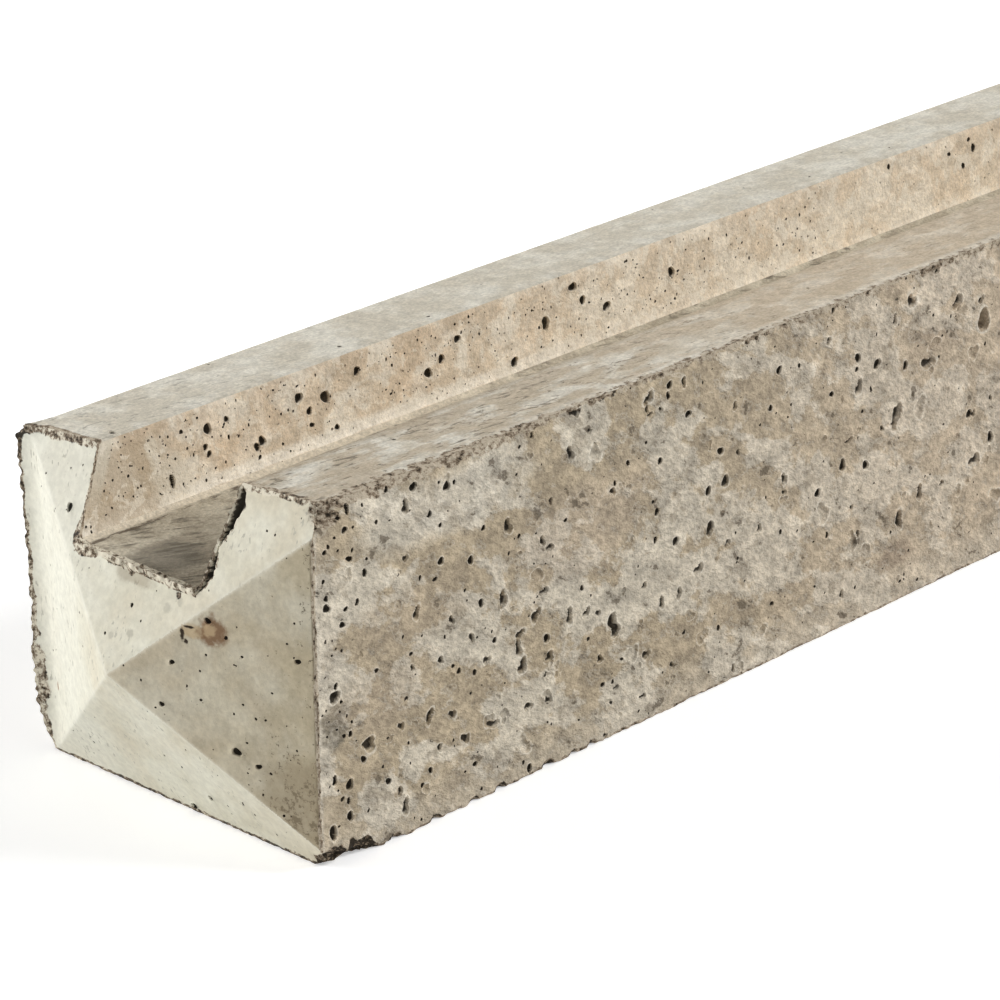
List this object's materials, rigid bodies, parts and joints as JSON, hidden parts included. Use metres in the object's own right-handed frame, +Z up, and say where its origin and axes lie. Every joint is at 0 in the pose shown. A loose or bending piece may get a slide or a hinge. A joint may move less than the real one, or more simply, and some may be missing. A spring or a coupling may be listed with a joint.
{
  "type": "concrete fence post",
  "caption": "Slotted precast concrete end post for a fence, with a diamond-point top and a tapered channel along its length that takes the edge of a panel or gravel board.",
  "frame": {"origin": "on the floor, under the middle of the post as it lies on its back", "axes": "+X along the post from the pointed top to the foot, +Y to the moulded side, +Z up out of the slot"},
  "size_m": [1.75, 0.109, 0.0977],
  "materials": {
    "cast_concrete": "matt, smooth where the mould formed it and rough on the trowelled side"
  },
  "bodies": {
    "root": {"fence_post": "cast_concrete"}
  },
  "joints": []
}
